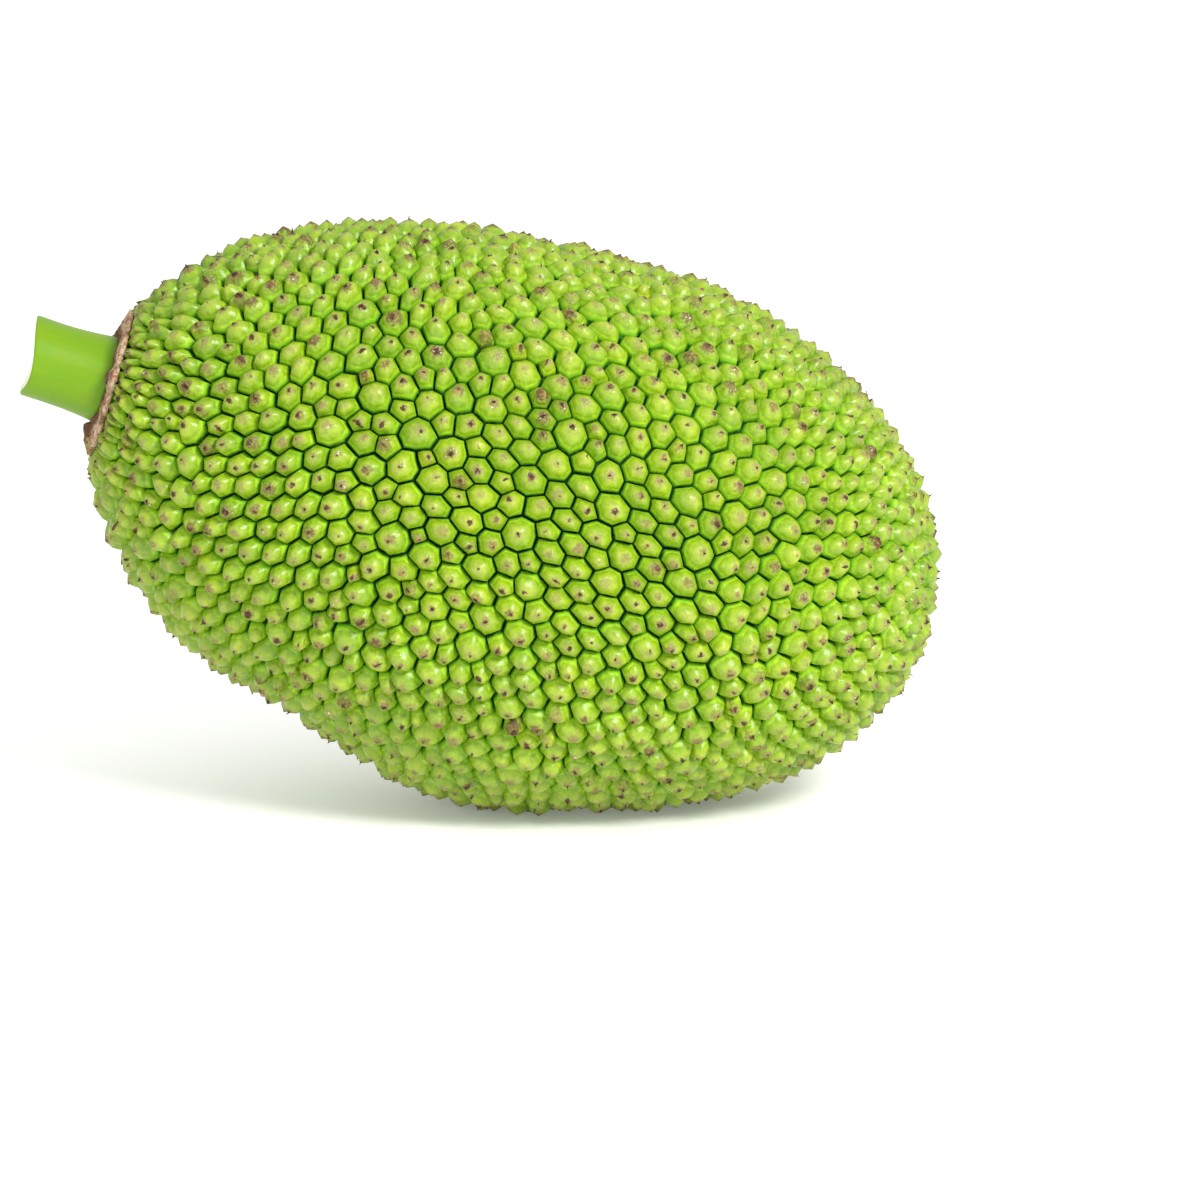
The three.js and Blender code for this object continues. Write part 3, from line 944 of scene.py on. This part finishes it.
def collar_cork(settings):
    """Cork that the tree grew over the joint: dry and matt, pink-tan, weathered brown along its crest, and
    painted shade by the stalk.
    """
    material, add = new_material("collar_cork")
    place = add("ShaderNodeTexCoord").outputs["Object"]
    cork = add("ShaderNodeAttribute", attribute_name="cork").outputs["Vector"]
    across, height, fresh = add("ShaderNodeSeparateXYZ", {0: cork}).outputs
    patches, grain = (
        add(
            "ShaderNodeTexNoise",
            {"Vector": place, "Scale": per_mm(size), "Detail": 5.0, "Roughness": 0.75},
        ).outputs["Fac"]
        for size in (4, 1.3)
    )
    stops = (
        (0.36, linear("#624A30")),
        (0.44, linear("#96684E")),
        (0.52, tuple(settings.colour)),
        (0.64, linear("#D6BCA2")),
    )
    colour = add("ShaderNodeValToRGB", {"Fac": patches}, stops).outputs["Color"]

    # Dark brown by the stalk, which is painted shade in the recess beside it, weathered over the knobs,
    # cracked all over, and still olive on the youngest knob.
    stops = ((0.42, tuple(settings.weathered_and_shade_colour)), (0.64, linear("#7E4E30")))
    weathered_and_shade_brown = add("ShaderNodeValToRGB", {"Fac": grain}, stops).outputs["Color"]
    # Painted shade: low where across is low, so the cork is darkest beside the stalk; low on the high crest
    # too.
    worn = across
    for layer, share in ((patches, -0.9), (grain, 0.5), (height, -0.35)):
        worn = add("ShaderNodeMath", {0: layer, 1: share, 2: worn}, operation="MULTIPLY_ADD").outputs[0]
    for layer, low, high, most, paint in (
        (fresh, 0.1, 0.5, 0.85, linear("#8E7E24")),
        (worn, 0.42, 0.18, 0.95, weathered_and_shade_brown),
        (grain, 0.47, 0.37, 0.9, linear("#40201A")),
    ):
        share = add(
            "ShaderNodeMapRange",
            {"Value": layer, "From Min": low, "From Max": high, "To Max": most},
            interpolation_type="SMOOTHSTEP",
        ).outputs[0]
        colour = add("ShaderNodeMix", {"Factor": share, 6: colour, 7: paint}, data_type="RGBA").outputs[2]
    return finished(material, add, {"Base Color": colour, "Roughness": 0.82}, grain, 0.8, 0.7 * MM)


def stalk_skin(settings):
    """Smooth young skin over long fibres, satin, and a pale moist cut end with the ends of its vessels."""
    material, add = new_material("stalk_skin")
    grain = add("ShaderNodeAttribute", attribute_name="grain").outputs["Vector"]
    cut = add("ShaderNodeAttribute", attribute_name="cut").outputs["Fac"]
    drawn = add("ShaderNodeVectorMath", {0: grain, 1: (0.06, 1, 1)}, operation="MULTIPLY").outputs[0]
    fibres, drift = (
        add(
            "ShaderNodeTexNoise",
            {"Vector": vector, "Scale": scale, "Detail": detail, "Roughness": roughness},
        ).outputs["Fac"]
        for vector, scale, detail, roughness in ((drawn, 1.1, 4.0, 0.6), (grain, 0.07, 2.0, 0.5))
    )
    value, hue = (
        add(
            "ShaderNodeMapRange",
            {"Value": layer, "From Min": 0.3, "From Max": 0.7, "To Min": low, "To Max": high},
        ).outputs[0]
        for layer, low, high in ((fibres, 0.95, 1.05), (drift, 0.51, 0.488))
    )
    tinted = {"Hue": hue, "Value": value, "Color": tuple(settings.colour)}
    skin = add("ShaderNodeHueSaturation", tinted).outputs[0]
    spread = {"Vector": drawn, "Scale": 1.0, "Randomness": 0.9}
    vessels = add("ShaderNodeTexVoronoi", spread, feature="F1").outputs["Distance"]
    stops = ((0.12, linear("#A9A868")), (0.4, tuple(settings.cut_colour)))
    flesh = add("ShaderNodeValToRGB", {"Fac": vessels}, stops).outputs[0]
    colour = add("ShaderNodeMix", {"Factor": cut, 6: skin, 7: flesh}, data_type="RGBA").outputs[2]
    look = {
        "Base Color": colour,
        "Roughness": 0.42,
        "Specular IOR Level": 0.28,
        "Subsurface Weight": 0.1,
        "Subsurface Radius": (0.6, 1.0, 0.25),
        "Subsurface Scale": 1.5 * MM,
    }
    return finished(material, add, look, fibres, 0.1, 0.2 * MM)


def lit_acrylic(settings):
    """Opal acrylic lit from below: matt and white, and it shows only the shadow close under the fruit."""
    material, add = new_material("lit_acrylic")
    place = add("ShaderNodeTexCoord").outputs["Object"]
    frosting = add("ShaderNodeTexNoise", {"Vector": place, "Scale": per_mm(2), "Detail": 2.0}).outputs["Fac"]
    look = {
        "Base Color": tuple(settings.floor_colour),
        "Roughness": 0.9,
        "Emission Color": (1, 1, 1, 1),
        "Emission Strength": 0.15,
    }
    return finished(material, add, look, frosting, 0.05, 0.1 * MM)


# ---- Stage

FLOOR_LEVEL = -0.1 * MM  # a little below the fruit, so that the two faces don't fight
FLOOR_RADIUS = 30.0  # so wide that its far edge lies on the horizon
FLOOR_SIDES = 128
LAMPS = (  # name, place, width, watts: a soft key from the upper right, and a weaker fill from the left
    ("key", (0.6, -1.16, 0.92), 0.45, 24),
    ("fill", (-1.0, -1.1, 0.35), 1.2, 3),
)
LIT_AT = Vector((0, 0, 0.1))
LOOKED_AT = Vector((0.0467, 0, 0.0838))  # right of the fruit's middle, so that the fruit stands to the left
SENSOR_WIDTH = 36

# ---- Operators


class JACKFRUIT_OT_rind(bpy.types.Operator):
    """Grows the fruit's tubercled rind, and the dry styles that stand on it"""

    bl_idname = "jackfruit.rind"
    bl_label = "Rind and styles"

    def execute(self, context):
        settings = context.scene.jackfruit
        rind = Rind(settings.rind)
        points = lying(rind.points)
        points[:, 2] = np.maximum(points[:, 2], 0)
        fruit = add_mesh("fruit_rind", points, rind.faces, waxy_rind(settings.rind), "fruit")
        for name, values in rind.values.items():
            add_values(fruit, "CORNER", name, values)
        points, faces = grow_styles(rind, settings.styles)
        add_mesh("dry_styles", lying(points), faces, dry_style(settings.styles))
        return {"FINISHED"}


class JACKFRUIT_OT_collar(bpy.types.Operator):
    """Grows the corky collar round the foot of the stalk"""

    bl_idname = "jackfruit.collar"
    bl_label = "Collar"

    def execute(self, context):
        settings = context.scene.jackfruit.collar
        points, faces, marks = grow_collar(settings)
        collar = add_mesh("cork_collar", lying(points), faces, collar_cork(settings), "stalk_collar")
        add_values(collar, "POINT", "cork", marks)
        return {"FINISHED"}


class JACKFRUIT_OT_stalk(bpy.types.Operator):
    """Grows the cut stalk"""

    bl_idname = "jackfruit.stalk"
    bl_label = "Stalk"

    def execute(self, context):
        settings = context.scene.jackfruit.stalk
        points, faces, rings = grow_stalk()
        stalk = add_mesh("cut_stalk", lying(points), faces, stalk_skin(settings), "stalk")
        add_values(stalk, "POINT", "grain", points / MM)
        add_values(stalk, "POINT", "cut", np.repeat(np.arange(rings) >= rings - CUT_RINGS, STALK_SIDES))
        return {"FINISHED"}


class JACKFRUIT_OT_stage(bpy.types.Operator):
    """Lays the floor, and sets the lights and the camera"""

    bl_idname = "jackfruit.stage"
    bl_label = "Stage"

    def execute(self, context):
        settings = context.scene.jackfruit.stage
        self.lay_floor(context, settings)
        self.set_lights(context)
        self.set_camera(context, settings)
        context.scene.view_settings.view_transform = "Standard"
        return {"FINISHED"}

    def lay_floor(self, context, settings):
        """A round floor, whose far edge melts into the sky."""
        turns = np.arange(FLOOR_SIDES) * TAU / FLOOR_SIDES
        edge = [(math.cos(turn), math.sin(turn)) for turn in turns]
        points = [(FLOOR_RADIUS * x, FLOOR_RADIUS * y, FLOOR_LEVEL) for x, y in edge]
        mesh = bpy.data.meshes.new("studio_floor")
        mesh.from_pydata(points, [], [tuple(range(FLOOR_SIDES))])
        mesh.materials.append(lit_acrylic(settings))
        floor = bpy.data.objects.new("studio_floor", mesh)
        context.scene.collection.objects.link(floor)

    def set_lights(self, context):
        """Two round lamps and a white sky."""
        for name, place, width, watts in LAMPS:
            light = bpy.data.lights.new(name, "AREA")
            light.shape = "DISK"
            light.size = width
            light.energy = watts
            lamp = bpy.data.objects.new(name, light)
            context.scene.collection.objects.link(lamp)
            lamp.location = place
            aim = LIT_AT - lamp.location
            lamp.rotation_euler = aim.to_track_quat("-Z", "Y").to_euler()
        world = bpy.data.worlds.new("white_sky")
        context.scene.world = world
        world.use_nodes = True
        sky = world.node_tree.nodes["Background"]
        sky.inputs["Color"].default_value = (1, 1, 1, 1)
        sky.inputs["Strength"].default_value = 1.0

    def set_camera(self, context, settings):
        """Low in front of the fruit, with a long lens."""
        camera = bpy.data.cameras.new("camera")
        camera.lens = settings.lens
        camera.sensor_width = SENSOR_WIDTH
        eye = bpy.data.objects.new("camera", camera)
        context.scene.collection.objects.link(eye)
        flat, turn = math.cos(settings.elevation), settings.azimuth
        back = Vector((flat * math.sin(turn), -flat * math.cos(turn), math.sin(settings.elevation)))
        eye.location = LOOKED_AT + back * settings.distance
        eye.rotation_euler = (-back).to_track_quat("-Z", "Y").to_euler()
        context.scene.camera = eye


class JACKFRUIT_PT_panel(bpy.types.Panel):
    """The jackfruit's pieces and their settings"""

    bl_idname = "JACKFRUIT_PT_panel"
    bl_label = "Jackfruit"
    bl_space_type = "VIEW_3D"
    bl_region_type = "UI"
    bl_category = "Jackfruit"

    def draw(self, context):
        settings = context.scene.jackfruit
        for operator, groups in (
            (JACKFRUIT_OT_rind, (settings.rind, settings.styles)),
            (JACKFRUIT_OT_collar, (settings.collar,)),
            (JACKFRUIT_OT_stalk, (settings.stalk,)),
            (JACKFRUIT_OT_stage, (settings.stage,)),
        ):
            box = self.layout.box()
            box.operator(operator.bl_idname)
            for group in groups:
                for name in group.__annotations__:
                    box.prop(group, name)


CLASSES = (
    RindSettings,
    StyleSettings,
    CollarSettings,
    StalkSettings,
    StageSettings,
    JackfruitSettings,
    JACKFRUIT_OT_rind,
    JACKFRUIT_OT_collar,
    JACKFRUIT_OT_stalk,
    JACKFRUIT_OT_stage,
    JACKFRUIT_PT_panel,
)


def register():
    for cls in CLASSES:
        bpy.utils.register_class(cls)
    bpy.types.Scene.jackfruit = PointerProperty(type=JackfruitSettings)


def unregister():
    del bpy.types.Scene.jackfruit
    for cls in reversed(CLASSES):
        bpy.utils.unregister_class(cls)


def main():
    """Grows every piece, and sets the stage."""
    register()
    bpy.ops.jackfruit.rind()
    bpy.ops.jackfruit.collar()
    bpy.ops.jackfruit.stalk()
    bpy.ops.jackfruit.stage()


if __name__ == "__main__":
    main()
